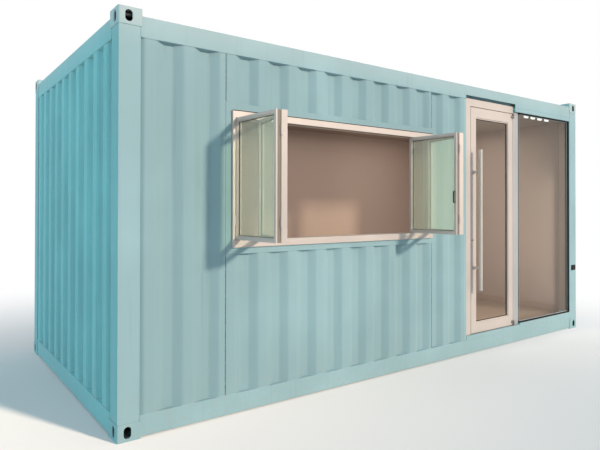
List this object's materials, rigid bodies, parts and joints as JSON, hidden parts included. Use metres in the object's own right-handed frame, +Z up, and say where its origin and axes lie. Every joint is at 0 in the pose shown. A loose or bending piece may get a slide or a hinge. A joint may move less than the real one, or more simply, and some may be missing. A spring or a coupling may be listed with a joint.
{
  "type": "shipping container cabin",
  "caption": "Aqua painted steel container cabin with folded sheet walls, a folding serving window, a glazed swing door, a tall fixed pane and a lined room.",
  "frame": {"origin": "middle of the ground face, midway between the slots of the four bottom corner castings", "axes": "+X along the front to the right, +Y from the front into the depth, +Z up"},
  "size_m": [5.9, 3.3849, 2.896],
  "materials": {
    "painted_castings": "satin aqua paint on cast steel",
    "painted_frame": "satin aqua paint on steel sections",
    "painted_wall": "satin aqua paint on folded steel sheet",
    "painted_roof": "satin aqua paint, dusty",
    "primed_steel": "dark primer",
    "floor_boards": "brown board floor, satin",
    "wall_lining": "smooth tan boards",
    "ceiling_lining": "smooth tan boards",
    "skirting_wood": "brown painted board",
    "cream_aluminium": "satin champagne anodised",
    "grey_aluminium": "satin grey coated",
    "clear_glass": "clear glass, slightly green",
    "hinge_metal": "brushed",
    "dark_metal": "satin dark coated metal",
    "black_rubber": "matt black",
    "black_plastic": "matt black"
  },
  "bodies": {
    "cabin": {"back_wall": "painted_wall", "bottom_end_rails": "painted_frame", "bottom_rail_back": "painted_frame", "bottom_rail_front": "painted_frame", "casting_bottom_back_left": "painted_castings", "casting_bottom_back_right": "painted_castings", "casting_bottom_front_left": "painted_castings", "casting_bottom_front_right": "painted_castings", "casting_top_back_left": "painted_castings", "casting_top_back_right": "painted_castings", "casting_top_front_left": "painted_castings", "casting_top_front_right": "painted_castings", "ceiling": "ceiling_lining", "corner_posts": "painted_frame", "door_frame": "cream_aluminium", "door_hinges_jamb": "hinge_metal", "door_post": "painted_frame", "end_wall_left": "painted_wall", "end_wall_right": "painted_wall", "floor_deck": "floor_boards", "floor_joists": "primed_steel", "front_sill": "painted_frame", "front_wall_left": "painted_wall", "front_wall_middle": "painted_wall", "front_wall_over_window": "painted_wall", "front_wall_under_window": "painted_wall", "glass_fixed": "clear_glass", "glass_gasket": "black_rubber", "glass_header": "painted_frame", "glass_jamb": "painted_frame", "lining_back": "wall_lining", "lining_ends": "wall_lining", "lining_front": "wall_lining", "mullion": "grey_aluminium", "power_box": "black_plastic", "roof": "painted_roof", "roof_end_plates": "painted_roof", "skirting": "skirting_wood", "top_end_rails": "painted_frame", "top_rail_back": "painted_frame", "top_rail_front": "painted_frame", "window_frame": "cream_aluminium", "window_hinges": "hinge_metal", "window_leaf_handle": "dark_metal", "window_leaf_left_jamb": "cream_aluminium", "window_leaf_left_track": "cream_aluminium", "window_leaf_right_jamb": "cream_aluminium", "window_leaf_right_track": "cream_aluminium", "window_panes": "clear_glass", "window_surround": "painted_wall"},
    "door": {"door_leaf": "cream_aluminium", "door_pane": "clear_glass", "door_pull_handles": "cream_aluminium", "door_lock": "hinge_metal", "door_hinges_leaf": "hinge_metal"}
  },
  "joints": [
    {"name": "door_swing", "type": "hinge", "parent": "cabin", "child": "door", "pos_m": [1.575, -1.409, 1.4275], "axis": [0, 0, 1], "range_deg": [0, 90]}
  ]
}
